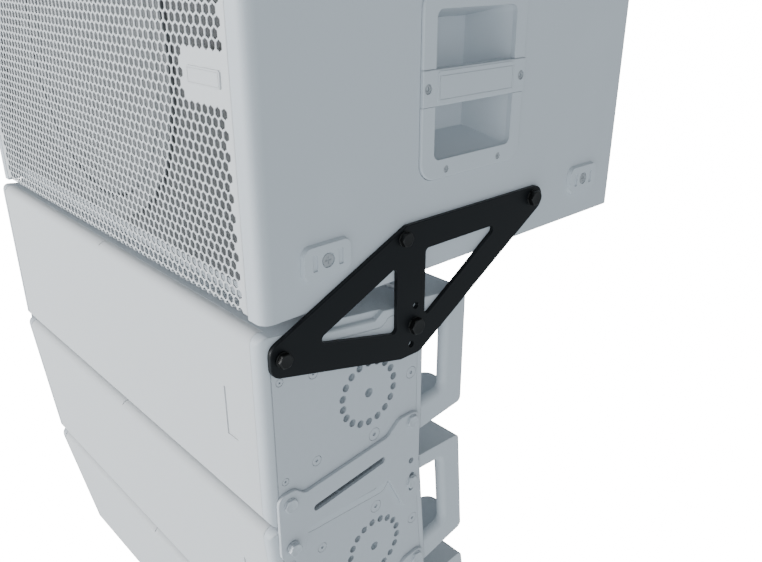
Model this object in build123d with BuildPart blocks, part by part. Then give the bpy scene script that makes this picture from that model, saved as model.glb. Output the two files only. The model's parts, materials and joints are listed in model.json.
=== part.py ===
from build123d import *
import os
from math import cos, radians, sin, tan

# A flown column: one subwoofer on top, a pair of black angle brackets under it, and three
# wide modules hung below one another on link plates.
# Row frame: origin at the middle of the subwoofer's top face, +X to its right-hand side,
# +Y to the rear, +Z up. Millimetres and degrees.

# ---- shared
WIDTH = 700.0  # every cabinet has the same width
HALF = WIDTH / 2
GAP = 0.3  # between pieces that move against each other
SEAM = 0.4  # shadow line around a flush piece
RUN = 0.06  # radial clearance of a pivot bolt in its plate
SCREW_PLAY = 0.05  # radial clearance of a fixed bolt or screw
SIDES = (1, -1)

# ---- subwoofer
SUB_DEPTH = 569.0
SUB_HEIGHT = 435.0
SUB_WALL = 18.0
SUB_FRONT = -SUB_DEPTH / 2
SUB_REAR = SUB_DEPTH / 2
SUB_MIDDLE = -SUB_HEIGHT / 2
SUB_FRONT_ROUND = 12.0
SUB_REAR_ROUND = 8.0
CHEEK = 24.8  # wooden cheek beside the grille
SUB_TRAY = 20.0  # depth of the folded grille
SUB_SHEET = 1.5
SUB_GRILLE_HEIGHT = SUB_HEIGHT - 6.0
BAFFLE_FRONT = SUB_FRONT + SUB_TRAY
PORT_X, PORT_WIDTH, PORT_HEIGHT = 311.0, 30.0, 226.0
PORT_WALL, PORT_LENGTH = 4.0, 160.0
BADGE_X, BADGE_WIDTH, BADGE_HEIGHT, BADGE_THICK = 283.8, 54.0, 16.0, 1.5
FLY_SPACING_X, FLY_SPACING_Y = 400.0, 300.0
INSERT_OUTER, INSERT_LENGTH = 8.0, 18.0
M10 = 5.0  # shank radius

# fifteen inch driver, radii and depths
SUB_HOLE = 172.0
SUB_FLANGE = 192.5

# side handle
HANDLE_Y, HANDLE_Z = -7.0, -242.2
HANDLE_WIDTH, HANDLE_HEIGHT, HANDLE_ROUND = 159.4, 188.0, 20.0
HANDLE_OPEN_WIDTH, HANDLE_OPEN_HEIGHT, HANDLE_OPEN_ROUND = 122.0, 147.5, 8.0
HANDLE_PROUD = 3.0
CUP_DEPTH, CUP_TAPER, CUP_WALL = 58.0, 14.0, 3.0
BAR_WIDTH, BAR_THICK, BAR_GRIP = 36.0, 4.0, 16.0
BAR_SCREW_Y = 72.5
BAR_RAISED = 0.8
FRAME_SCREW_Y, FRAME_SCREW_Z = 42.0, 85.0

# pads on the side faces
PAD_Y, PAD_Z = 210.5, 49.3
PAD_WIDTH, PAD_HEIGHT, PAD_ROUND, PAD_PROUD = 59.0, 35.5, 10.0, 5.0

# amplifier tray on the rear
AMP_WIDTH, AMP_HEIGHT, AMP_LIP, AMP_DEPTH, AMP_SHEET = 340.0, 260.0, 14.0, 26.0, 3.0
KNOB_X, KNOB_Z = 125.0, -150.0
SOCKET_X, SOCKET_DROPS = 85.0, (-75.0, -20.0)
SOCKET_WIDTH, SOCKET_HEIGHT, SOCKET_FLANGE = 26.0, 31.0, 3.0
SINK_X, SINK_WIDTH, SINK_HEIGHT, SINK_PLATE = -55.0, 180.0, 200.0, 4.0
FINS, FIN_THICK, FIN_HIGH = 19, 2.6, 14.0

# ---- modules: own frame has y = 0 on the front pivots and z = 0 at mid height
FRONT_Y = -21.7
BODY_REAR = 193.9
HANDLE_REAR = 264.2
FRONT_HALF = 111.4
TAPER_ANGLE = 7.5
TAPER = tan(radians(TAPER_ANGLE))
EDGE_ROUND = 10.5
MODULE_WALL = 10.0
SIDE_WALL = 15.0
GRILLE_HALF = 334.5
GRILLE_BACK = -7.0
GRILLE_SHEET = 2.0
BAFFLE_BACK = 5.0
LABEL, LABEL_WIDTH, LABEL_HEIGHT, LABEL_DEEP = (289.0, 3.6), 20.3, 58.0, 1.2
PLATE = 3.0  # flush steel side plate
PIVOT_Z = 85.9
REAR_Y, REAR_Z = 175.3, 62.6
BOLT_RADIUS = 176.8  # front pivot to rear bolt
BOLT_ANGLE = 7.57  # the rear bolt lies this far below the front one
RING_Y, RING_PCD, RING_COUNT, RING_HOLE, RING_DEPTH = 112.7, 74.0, 18, 4.5, 12.0
CENTRE_HOLE, CENTRE_DEPTH = 5.5, 10.0
BOLT_DEPTH = 13.5  # blind holes of the rigging bolts
SCREW_SPOTS = (
    (176.6, 0.0, 7.0),
    (120.3, 57.3, 7.5),
    (120.3, -57.3, 7.5),
    (39.2, 52.6, 5.6),
    (39.2, -52.6, 5.6),
    (-1.4, 58.4, 4.0),
    (-1.4, -58.4, 4.0),
)
REAR_FLANGE_X, REAR_FLANGE_THICK, FLANGE_ROUND = 65.0, 16.6, 18.0
POST_X, POST_Y = 10.5, 229.9
FLANGE_RAISED = (5.0, 6.5)  # upper flange above the taper, at its front and at its rear
WINDOW_TOP, WINDOW_BOTTOM, WINDOW_ROUND, WINDOW_FLARE = 20.0, 35.4, 8.0, 8.8
WOOFER_X, WOOFER_HOLE, WOOFER_FLANGE = 210.0, 72.0, 84.0
HORN_WIDTH, HORN_HEIGHT, HORN_BACK, HORN_THROAT = 168.0, 184.0, 92.0, 46.0
PANEL_WIDTH, PANEL_HEIGHT = 260.0, 96.0

# ---- rigging
PIVOT = (-269.3, -470.0)  # front pivot of the first module, y and z in the row frame
PITCH = 227.0  # pivot to pivot down the column
SPLAY = 5.0  # between neighbouring modules, as flown
SPLAY_HOLES = (2.0, 5.0, 8.0, 15.0)
TILT_STEP = 7.4
BRACKET_THICK = 5.0
LINK_THICK = 4.0
LINK_SLOT, LINK_SLOT_LONG, LINK_SLOT_WIDE = (81.5, -101.2), 104.0, 8.3
SUB_BOLTS = ((158.0, 81.2), (372.6, 81.2))  # from the pivot to the bolts in the subwoofer
SPARE_HOLE = 4.0
HEAD_M10 = (14.0, 6.0)  # across flats, height
HEAD_M12 = (17.0, 6.6)
HEAD_LINK = (15.0, 2.4)  # low heads of the bolts in the link plates
WASHER = 1.1  # thickness of the flange under a head, and how far it stands out


def side_plane(x):
    """Sketch seen from the right: first axis to the rear, second up, normal +X."""
    return Plane(origin=(x, 0, 0), x_dir=(0, 1, 0), z_dir=(1, 0, 0))


def front_plane(y):
    """Sketch seen from the front: first axis to the right, second up, normal -Y."""
    return Plane(origin=(0, y, 0), x_dir=(1, 0, 0), z_dir=(0, -1, 0))


def driver_plane(x, z):
    """Half section of a round driver: first axis is the radius, second the depth."""
    return Plane(origin=(x, 0, z), x_dir=(1, 0, 0), z_dir=(0, 0, 1))


def bracket_plane(x):
    """As side_plane, with its origin on the first module's front pivot."""
    return Plane(origin=(x, PIVOT[0], PIVOT[1]), x_dir=(0, 1, 0), z_dir=(1, 0, 0))


def half_height(y):
    """Half the height of a module at depth y."""
    return FRONT_HALF - TAPER * (y - FRONT_Y)


def on_arc(angle):
    """A point on the arc of the rear bolts, angle in degrees above the horizontal."""
    return (BOLT_RADIUS * cos(radians(angle)), BOLT_RADIUS * sin(radians(angle)))


def keep(part, name):
    """Label one finished piece and write it."""
    part.label = name
    export_step(part, f"parts/{name}.step")


os.makedirs("parts", exist_ok=True)

# ==================================================================== subwoofer
insert_spots = [(PIVOT[0] + y, PIVOT[1] + z) for y, z in SUB_BOLTS]
handle_spot = Locations((HANDLE_Y, HANDLE_Z))
pad_spots = [(y, z) for y in (-PAD_Y, PAD_Y) for z in (-SUB_HEIGHT + PAD_Z, -PAD_Z)]

with BuildPart() as sub_cabinet:
    with BuildSketch(Plane.XY):
        Rectangle(WIDTH, SUB_DEPTH)
    extrude(amount=-SUB_HEIGHT)
    fillet(sub_cabinet.edges().filter_by(Axis.Z).group_by(Axis.Y)[0], radius=SUB_FRONT_ROUND)
    fillet(sub_cabinet.faces().sort_by(Axis.Y)[-1].edges(), radius=SUB_REAR_ROUND)
    # room for the folded grille, then the hollow behind it
    with BuildSketch(front_plane(SUB_FRONT)):
        with Locations((0, SUB_MIDDLE)):
            Rectangle(WIDTH - 2 * CHEEK, SUB_HEIGHT + 2)
    extrude(amount=-SUB_TRAY, mode=Mode.SUBTRACT)
    with BuildSketch(front_plane(BAFFLE_FRONT)):
        with Locations((0, SUB_MIDDLE)):
            Rectangle(WIDTH - 2 * SUB_WALL, SUB_HEIGHT - 2 * SUB_WALL)
    extrude(amount=-(SUB_DEPTH - SUB_TRAY - SUB_WALL), mode=Mode.SUBTRACT)
    for side in SIDES:
        with BuildSketch(side_plane(side * HALF)):
            with handle_spot:
                RectangleRounded(HANDLE_WIDTH + 2 * SEAM, HANDLE_HEIGHT + 2 * SEAM, HANDLE_ROUND)
        extrude(amount=-side * HANDLE_PROUD, mode=Mode.SUBTRACT)
        with BuildSketch(side_plane(side * HALF)):
            with Locations((HANDLE_Y, HANDLE_Z)):
                RectangleRounded(
                    HANDLE_OPEN_WIDTH + 2 * CUP_WALL + 1, HANDLE_OPEN_HEIGHT + 2 * CUP_WALL + 1, 12
                )
            with Locations(*insert_spots):
                Circle(INSERT_OUTER + SCREW_PLAY)
        extrude(amount=-side * (SUB_WALL + 1), mode=Mode.SUBTRACT)
    with BuildSketch(Plane.XY):
        with GridLocations(FLY_SPACING_X, FLY_SPACING_Y, 2, 2):
            Circle(INSERT_OUTER + SCREW_PLAY)
    extrude(amount=-(SUB_WALL + 1), mode=Mode.SUBTRACT)
    with BuildSketch(front_plane(SUB_REAR)):
        with Locations((0, SUB_MIDDLE)):
            RectangleRounded(AMP_WIDTH + 2 * SEAM, AMP_HEIGHT + 2 * SEAM, 8)
    extrude(amount=AMP_SHEET, mode=Mode.SUBTRACT)
    with BuildSketch(front_plane(SUB_REAR)):
        with Locations((0, SUB_MIDDLE)):
            RectangleRounded(AMP_WIDTH - 2 * AMP_LIP + 1, AMP_HEIGHT - 2 * AMP_LIP + 1, 6)
    extrude(amount=SUB_WALL + 1, mode=Mode.SUBTRACT)

with BuildPart() as sub_baffle:
    with BuildSketch(front_plane(BAFFLE_FRONT)):
        with Locations((0, SUB_MIDDLE)):
            Rectangle(WIDTH - 2 * SUB_WALL, SUB_HEIGHT - 2 * SUB_WALL)
            Circle(SUB_HOLE + SCREW_PLAY, mode=Mode.SUBTRACT)
        with Locations((-PORT_X, SUB_MIDDLE), (PORT_X, SUB_MIDDLE)):
            SlotOverall(PORT_HEIGHT, PORT_WIDTH, rotation=90, mode=Mode.SUBTRACT)
    extrude(amount=-SUB_WALL)
    # port tubes glued into it
    with BuildSketch(front_plane(BAFFLE_FRONT + SUB_WALL)):
        with Locations((-PORT_X, SUB_MIDDLE), (PORT_X, SUB_MIDDLE)):
            SlotOverall(PORT_HEIGHT + 2 * PORT_WALL, PORT_WIDTH + 2 * PORT_WALL, rotation=90)
            SlotOverall(PORT_HEIGHT, PORT_WIDTH, rotation=90, mode=Mode.SUBTRACT)
    extrude(amount=-PORT_LENGTH)

with BuildPart() as sub_grille:
    with BuildSketch(front_plane(SUB_FRONT)):
        with Locations((0, SUB_MIDDLE)):
            RectangleRounded(WIDTH - 2 * CHEEK - 2 * GAP, SUB_GRILLE_HEIGHT, 3)
    extrude(amount=-SUB_TRAY)
    with BuildSketch(front_plane(SUB_FRONT + SUB_SHEET)):
        with Locations((0, SUB_MIDDLE)):
            RectangleRounded(
                WIDTH - 2 * CHEEK - 2 * GAP - 2 * SUB_SHEET, SUB_GRILLE_HEIGHT - 2 * SUB_SHEET, 2
            )
    extrude(amount=-SUB_TRAY, mode=Mode.SUBTRACT)

with BuildPart() as sub_badge_plate:
    with BuildSketch(front_plane(SUB_FRONT)):
        with Locations((BADGE_X, SUB_MIDDLE)):
            RectangleRounded(BADGE_WIDTH, BADGE_HEIGHT, 1.5)
    extrude(amount=BADGE_THICK)
    chamfer(sub_badge_plate.faces().sort_by(Axis.Y)[0].edges(), length=0.4)

# driver: flange on the baffle, stamped basket behind it, magnet at the back
with BuildPart() as sub_woofer_frame:
    with BuildSketch(driver_plane(0, SUB_MIDDLE)):
        with BuildLine():
            Polyline(
                (SUB_FLANGE, BAFFLE_FRONT),
                (SUB_FLANGE, BAFFLE_FRONT - 5),
                (SUB_HOLE - 2.5, BAFFLE_FRONT - 5),
                (SUB_HOLE - 2.5, BAFFLE_FRONT + 28),
                (77, BAFFLE_FRONT + 118),
                (0, BAFFLE_FRONT + 118),
                (0, BAFFLE_FRONT + 173),
                (94, BAFFLE_FRONT + 173),
                (98, BAFFLE_FRONT + 169),
                (98, BAFFLE_FRONT + 121),
                (80, BAFFLE_FRONT + 121),
                (SUB_HOLE, BAFFLE_FRONT + 29),
                (SUB_HOLE, BAFFLE_FRONT),
                close=True,
            )
        make_face()
    revolve(axis=Axis((0, 0, SUB_MIDDLE), (0, 1, 0)))

with BuildPart() as sub_woofer_cone:
    with BuildSketch(driver_plane(0, SUB_MIDDLE)):
        with BuildLine():
            outer = SUB_HOLE - 4
            rim = BAFFLE_FRONT + 2
            l1 = Line((0, rim + 46), (40, rim + 62))
            l2 = Line(l1 @ 1, (outer - 20, rim))
            l3 = ThreePointArc(l2 @ 1, (outer - 10, rim - 7), (outer, rim))
            l4 = Line(l3 @ 1, (outer, rim + 2))
            l5 = ThreePointArc(l4 @ 1, (outer - 10, rim - 5), (outer - 19.5, rim + 2.4))
            l6 = Line(l5 @ 1, (41, rim + 66))
            l7 = Line(l6 @ 1, (0, rim + 49))
            Line(l7 @ 1, l1 @ 0)
        make_face()
    revolve(axis=Axis((0, 0, SUB_MIDDLE), (0, 1, 0)))

with BuildPart() as sub_pads:
    for side in SIDES:
        with BuildSketch(side_plane(side * HALF)):
            with Locations(*pad_spots):
                RectangleRounded(PAD_WIDTH, PAD_HEIGHT, PAD_ROUND)
        extrude(amount=side * PAD_PROUD, taper=16)
        with BuildSketch(side_plane(side * (HALF + PAD_PROUD))):
            for y, z in pad_spots:
                with Locations((y, z)):
                    Circle(7.6)
                with Locations((y - 15.5, z), (y + 15.5, z)):
                    RectangleRounded(5.5, 16, 1)
        extrude(amount=-side * 1.6, mode=Mode.SUBTRACT)

frame_screws = [
    (HANDLE_Y + y, HANDLE_Z + z)
    for y in (-FRAME_SCREW_Y, FRAME_SCREW_Y)
    for z in (-FRAME_SCREW_Z, FRAME_SCREW_Z)
]
with BuildPart() as sub_handles:
    for side in SIDES:
        with BuildSketch(side_plane(side * (HALF - HANDLE_PROUD))):
            with handle_spot:
                RectangleRounded(HANDLE_WIDTH, HANDLE_HEIGHT, HANDLE_ROUND)
        extrude(amount=side * 2 * HANDLE_PROUD)
        fillet(sub_handles.faces().sort_by(Axis.X)[-1 if side > 0 else 0].edges(), radius=2)
        with BuildSketch(side_plane(side * (HALF - HANDLE_PROUD))):
            with handle_spot:
                RectangleRounded(
                    HANDLE_OPEN_WIDTH + 2 * CUP_WALL, HANDLE_OPEN_HEIGHT + 2 * CUP_WALL, 11
                )
        extrude(amount=-side * CUP_DEPTH, taper=CUP_TAPER)
        with BuildSketch(side_plane(side * (HALF + HANDLE_PROUD))):
            with handle_spot:
                RectangleRounded(HANDLE_OPEN_WIDTH, HANDLE_OPEN_HEIGHT, HANDLE_OPEN_ROUND)
        extrude(amount=-side * 2 * HANDLE_PROUD, mode=Mode.SUBTRACT)
        with BuildSketch(side_plane(side * (HALF - HANDLE_PROUD))):
            with handle_spot:
                RectangleRounded(HANDLE_OPEN_WIDTH, HANDLE_OPEN_HEIGHT, HANDLE_OPEN_ROUND)
        extrude(amount=-side * (CUP_DEPTH - CUP_WALL), taper=CUP_TAPER, mode=Mode.SUBTRACT)
        # the bar lies in a flat across the frame
        with BuildSketch(side_plane(side * HALF)):
            with handle_spot:
                Rectangle(HANDLE_WIDTH + 2, BAR_WIDTH + 2 * SEAM)
        extrude(amount=side * HANDLE_PROUD * 2, mode=Mode.SUBTRACT)
        with BuildSketch(side_plane(side * (HALF + HANDLE_PROUD))):
            with Locations(*frame_screws):
                Circle(3.7)
        extrude(amount=-side * 2, mode=Mode.SUBTRACT)

bar_screws = [(HANDLE_Y - BAR_SCREW_Y, HANDLE_Z), (HANDLE_Y + BAR_SCREW_Y, HANDLE_Z)]
with BuildPart() as sub_handle_bars:
    for side in SIDES:
        with BuildSketch(side_plane(side * HALF)):
            with handle_spot:
                Rectangle(HANDLE_WIDTH, BAR_WIDTH)
        extrude(amount=side * BAR_THICK)
        fillet(sub_handle_bars.faces().sort_by(Axis.X)[-1 if side > 0 else 0].edges(), radius=1.2)
        with BuildSketch(side_plane(side * (HALF + BAR_THICK - BAR_GRIP))):
            with handle_spot:
                RectangleRounded(HANDLE_OPEN_WIDTH - 6, BAR_WIDTH - 2, 6)
        extrude(amount=side * BAR_GRIP)
        # raised blank panel with a fine border groove
        with BuildSketch(side_plane(side * (HALF + BAR_THICK))):
            with handle_spot:
                RectangleRounded(HANDLE_OPEN_WIDTH - 4, BAR_WIDTH - 4, 3)
        extrude(amount=side * BAR_RAISED)
        with BuildSketch(side_plane(side * (HALF + BAR_THICK + BAR_RAISED))):
            with handle_spot:
                Rectangle(HANDLE_OPEN_WIDTH - 8, BAR_WIDTH - 12)
                Rectangle(HANDLE_OPEN_WIDTH - 9.6, BAR_WIDTH - 13.6, mode=Mode.SUBTRACT)
        extrude(amount=-side * 0.5, mode=Mode.SUBTRACT)
        with BuildSketch(side_plane(side * (HALF + BAR_THICK))):
            with Locations(*bar_screws):
                Circle(5.0)
        extrude(amount=-side * 2.6, mode=Mode.SUBTRACT)

with BuildPart() as sub_screws:
    for side in SIDES:
        pad_screw = side * (HALF + PAD_PROUD - 1.6)
        with BuildSketch(side_plane(pad_screw)):
            with Locations(*pad_spots):
                Circle(6.4)
        extrude(amount=side * 1.2)
        with BuildSketch(side_plane(pad_screw + side * 1.2)):
            with Locations(*pad_spots):
                Rectangle(7, 1.4)
                Rectangle(1.4, 7)
        extrude(amount=-side * 0.8, mode=Mode.SUBTRACT)
        frame_face = side * (HALF + HANDLE_PROUD)
        with BuildSketch(side_plane(frame_face - side * 2)):
            with Locations(*frame_screws):
                Circle(3.4)
                Circle(1.3, mode=Mode.SUBTRACT)
        extrude(amount=side * 1.4)
        bar_face = side * (HALF + BAR_THICK)
        with BuildSketch(side_plane(bar_face - side * 2.6)):
            with Locations(*bar_screws):
                Circle(4.6)
                RegularPolygon(radius=2.3, side_count=6, mode=Mode.SUBTRACT)
        extrude(amount=side * 1.6)

with BuildPart() as sub_inserts:
    with BuildSketch(Plane.XY):
        with GridLocations(FLY_SPACING_X, FLY_SPACING_Y, 2, 2):
            Circle(INSERT_OUTER)
            Circle(M10 + SCREW_PLAY, mode=Mode.SUBTRACT)
    extrude(amount=-INSERT_LENGTH)
    for side in SIDES:
        with BuildSketch(side_plane(side * HALF)):
            with Locations(*insert_spots):
                Circle(INSERT_OUTER)
                Circle(M10 + SCREW_PLAY, mode=Mode.SUBTRACT)
        extrude(amount=-side * INSERT_LENGTH)

with BuildPart() as sub_amp_tray:
    with BuildSketch(front_plane(SUB_REAR)):
        with Locations((0, SUB_MIDDLE)):
            RectangleRounded(AMP_WIDTH, AMP_HEIGHT, 8)
    extrude(amount=AMP_SHEET)
    with BuildSketch(front_plane(SUB_REAR)):
        with Locations((0, SUB_MIDDLE)):
            RectangleRounded(AMP_WIDTH - 2 * AMP_LIP, AMP_HEIGHT - 2 * AMP_LIP, 6)
    extrude(amount=AMP_DEPTH)
    with BuildSketch(front_plane(SUB_REAR)):
        with Locations((0, SUB_MIDDLE)):
            RectangleRounded(
                AMP_WIDTH - 2 * AMP_LIP - 2 * AMP_SHEET, AMP_HEIGHT - 2 * AMP_LIP - 2 * AMP_SHEET, 3
            )
    extrude(amount=AMP_DEPTH - AMP_SHEET, mode=Mode.SUBTRACT)

amp_floor = SUB_REAR - AMP_DEPTH + AMP_SHEET
with BuildPart() as sub_heat_sink:
    with BuildSketch(front_plane(amp_floor)):
        with Locations((SINK_X, SUB_MIDDLE)):
            Rectangle(SINK_WIDTH, SINK_HEIGHT)
    extrude(amount=-SINK_PLATE)
    with BuildSketch(front_plane(amp_floor + SINK_PLATE)):
        with Locations((SINK_X, SUB_MIDDLE)):
            with GridLocations(SINK_WIDTH / FINS, 0, FINS, 1):
                Rectangle(FIN_THICK, SINK_HEIGHT)
    extrude(amount=-FIN_HIGH)

socket_spots = [(x, SUB_MIDDLE + z) for x in (SOCKET_X, KNOB_X) for z in SOCKET_DROPS]
with BuildPart() as sub_connectors:
    with BuildSketch(front_plane(amp_floor)):
        with Locations(*socket_spots):
            RectangleRounded(SOCKET_WIDTH, SOCKET_HEIGHT, 3)
    extrude(amount=-SOCKET_FLANGE)
    with BuildSketch(front_plane(amp_floor + SOCKET_FLANGE)):
        with Locations(*socket_spots):
            Circle(12)
            Circle(9, mode=Mode.SUBTRACT)
    extrude(amount=-8)

with BuildPart() as sub_gain_knob:
    with BuildSketch(front_plane(amp_floor + GAP)):
        with Locations((KNOB_X, KNOB_Z)):
            Circle(9)
    extrude(amount=-13)
    chamfer(sub_gain_knob.faces().sort_by(Axis.Y)[-1].edges(), length=1)
    with BuildSketch(front_plane(amp_floor + GAP + 13)):
        with Locations((KNOB_X, KNOB_Z + 4)):
            Rectangle(1.4, 7)
    extrude(amount=0.8, mode=Mode.SUBTRACT)

# ==================================================================== modules, own frame
def body_profile(inset, front, rear):
    """Draw the tapered side view between two depths, inset all round."""
    Polyline(
        (front, half_height(front) - inset),
        (rear, half_height(rear) - inset),
        (rear, inset - half_height(rear)),
        (front, inset - half_height(front)),
        close=True,
    )


def plate_profile(inset):
    """Draw the side plate: lobes around both rows of bolts, straight between them."""
    upper = [
        (-11.0 + inset, 100.2 - inset),
        (14.5, 100.2 - inset),
        (24.6, 85.4 - inset),
        (132.0, 72.3 - inset),
        (141.8, 81.2 - inset),
        (186.3 - inset, 81.2 - inset),
    ]
    lower = [(y, -z) for y, z in reversed(upper)]
    rounds = [9, 7, 7, 9, 7, 1.5]
    FilletPolyline(*upper, *lower, radius=rounds + rounds[::-1], close=True)


bolt_holes = [(0, PIVOT_Z), (0, -PIVOT_Z), (REAR_Y, REAR_Z), (REAR_Y, -REAR_Z)]
taper_run = (1 + TAPER**2) ** 0.5
LEDGE_DEEP, LEDGE_HIGH, LEDGE_ROUND = 5.9, 8.2, 3.6
LEDGE_FROM, LEDGE_TO, LEDGE_END = 30.0, 134.0, 12.0
ledge_tools = []
for side in SIDES:
    for up in SIDES:
        ledge_start = (side * HALF, LEDGE_FROM, up * (half_height(LEDGE_FROM) - LEDGE_HIGH))
        along = Vector(0, 1, -up * TAPER)
        with BuildPart() as ledge:
            ledge_plane = Plane(origin=ledge_start, x_dir=(side, 0, 0), z_dir=along)
            flip = 1 if ledge_plane.y_dir.Z * up > 0 else -1
            with BuildSketch(ledge_plane):
                with BuildLine():
                    floor = Line((-LEDGE_DEEP, 0), (-LEDGE_ROUND, 0))
                    edge = RadiusArc(
                        floor @ 1, (0.5, -flip * (LEDGE_ROUND + 0.5)), flip * (LEDGE_ROUND + 0.5)
                    )
                    Polyline(edge @ 1, (2, -flip * (LEDGE_ROUND + 0.5)), (2, flip * 16),
                             (-LEDGE_DEEP, flip * 16), floor @ 0)
                make_face()
            extrude(amount=(LEDGE_TO - LEDGE_FROM) * taper_run)
            # its rear end slopes up and back
            run_out = Plane(
                origin=(0, LEDGE_TO, up * half_height(LEDGE_TO)), z_dir=(0, LEDGE_HIGH, -up * LEDGE_END)
            )
            split(bisect_by=run_out, keep=Keep.BOTTOM)
        ledge_tools.append(ledge.part)

with BuildPart() as cabinet:
    with BuildSketch(side_plane(-HALF)):
        with BuildLine():
            body_profile(0, FRONT_Y, BODY_REAR)
        make_face()
    extrude(amount=WIDTH)
    fillet(cabinet.faces().sort_by(Axis.Y)[0].edges(), radius=EDGE_ROUND)
    fillet(cabinet.faces().sort_by(Axis.Y)[-1].edges().filter_by(Axis.X), radius=3)
    # the tray of the front grille, then the hollow behind the baffle
    with BuildSketch(front_plane(FRONT_Y)):
        Rectangle(2 * GRILLE_HALF, 2 * FRONT_HALF + 2)
    extrude(amount=FRONT_Y - GRILLE_BACK, mode=Mode.SUBTRACT)
    with BuildSketch(side_plane(SIDE_WALL - HALF)):
        with BuildLine():
            body_profile(MODULE_WALL, BAFFLE_BACK, BODY_REAR - MODULE_WALL)
        make_face()
    extrude(amount=WIDTH - 2 * SIDE_WALL, mode=Mode.SUBTRACT)
    with BuildSketch(front_plane(GRILLE_BACK)):
        with Locations((-WOOFER_X, 0), (WOOFER_X, 0)):
            Circle(WOOFER_HOLE + SCREW_PLAY)
        Rectangle(HORN_WIDTH + 0.2, HORN_HEIGHT + 0.2)
    extrude(amount=GRILLE_BACK - BAFFLE_BACK - 1, mode=Mode.SUBTRACT)
    with BuildSketch(front_plane(BODY_REAR)):
        RectangleRounded(PANEL_WIDTH + 2 * SEAM, PANEL_HEIGHT + 2 * SEAM, 5)
    extrude(amount=PLATE, mode=Mode.SUBTRACT)
    with BuildSketch(front_plane(BODY_REAR)):
        RectangleRounded(PANEL_WIDTH - 20, PANEL_HEIGHT - 20, 4)
    extrude(amount=MODULE_WALL + 1, mode=Mode.SUBTRACT)
    for side in SIDES:
        with BuildSketch(side_plane(side * HALF)):
            with BuildLine():
                plate_profile(0)
            make_face()
        extrude(amount=-side * PLATE, mode=Mode.SUBTRACT)
        with BuildSketch(side_plane(side * HALF)):
            with Locations((RING_Y, 0)):
                with PolarLocations(RING_PCD / 2, RING_COUNT, start_angle=10):
                    Circle(RING_HOLE)
        extrude(amount=-side * RING_DEPTH, mode=Mode.SUBTRACT)
        with BuildSketch(side_plane(side * HALF)):
            with Locations((RING_Y, 0)):
                Circle(CENTRE_HOLE)
        extrude(amount=-side * CENTRE_DEPTH, mode=Mode.SUBTRACT)
        with BuildSketch(side_plane(side * HALF)):
            with Locations(*bolt_holes):
                Circle(M10 + SCREW_PLAY)
        extrude(amount=-side * BOLT_DEPTH, mode=Mode.SUBTRACT)
    for tool in ledge_tools:
        add(tool, mode=Mode.SUBTRACT)

side_plates = {}
for name, side in (("right", 1), ("left", -1)):
    with BuildPart() as side_plate:
        with BuildSketch(side_plane(side * (HALF - PLATE))):
            with BuildLine():
                plate_profile(SEAM)
            make_face()
            with Locations((RING_Y, 0)):
                Circle(CENTRE_HOLE, mode=Mode.SUBTRACT)
                with PolarLocations(RING_PCD / 2, RING_COUNT, start_angle=10):
                    Circle(RING_HOLE, mode=Mode.SUBTRACT)
            with Locations(*bolt_holes):
                Circle(M10 + SCREW_PLAY, mode=Mode.SUBTRACT)
            for y, z, radius in SCREW_SPOTS:
                with Locations((y, z)):
                    Circle(radius + SEAM, mode=Mode.SUBTRACT)
        extrude(amount=side * PLATE)
    side_plates[name] = side_plate

with BuildPart() as plate_screws:
    for side in SIDES:
        for y, z, radius in SCREW_SPOTS:
            with BuildSketch(side_plane(side * (HALF - PLATE))):
                with Locations((y, z)):
                    Circle(radius)
            extrude(amount=side * (PLATE - 0.1))
            with BuildSketch(side_plane(side * (HALF - 0.1))):
                with Locations((y, z)):
                    RegularPolygon(radius=0.34 * radius, side_count=6)
            extrude(amount=-side * 2, mode=Mode.SUBTRACT)

with BuildPart() as grille:
    with BuildSketch(side_plane(GAP - GRILLE_HALF)):
        with BuildLine():
            skin = FilletPolyline(
                (GRILLE_BACK, half_height(GRILLE_BACK)),
                (FRONT_Y, FRONT_HALF),
                (FRONT_Y, -FRONT_HALF),
                (GRILLE_BACK, -half_height(GRILLE_BACK)),
                radius=EDGE_ROUND,
            )
            Line(skin @ 1, skin @ 0)
        make_face()
    extrude(amount=2 * (GRILLE_HALF - GAP))
    with BuildSketch(side_plane(GAP - GRILLE_HALF + GRILLE_SHEET)):
        with BuildLine():
            lining = FilletPolyline(
                (0, half_height(0) - GRILLE_SHEET),
                (FRONT_Y + GRILLE_SHEET, half_height(FRONT_Y) - GRILLE_SHEET),
                (FRONT_Y + GRILLE_SHEET, GRILLE_SHEET - half_height(FRONT_Y)),
                (0, GRILLE_SHEET - half_height(0)),
                radius=EDGE_ROUND - GRILLE_SHEET,
            )
            Line(lining @ 1, lining @ 0)
        make_face()
    extrude(amount=2 * (GRILLE_HALF - GAP - GRILLE_SHEET), mode=Mode.SUBTRACT)
    with BuildSketch(front_plane(FRONT_Y)):
        with Locations(LABEL):
            RectangleRounded(LABEL_WIDTH, LABEL_HEIGHT, 1.5)
    extrude(amount=-LABEL_DEEP, mode=Mode.SUBTRACT)

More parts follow.
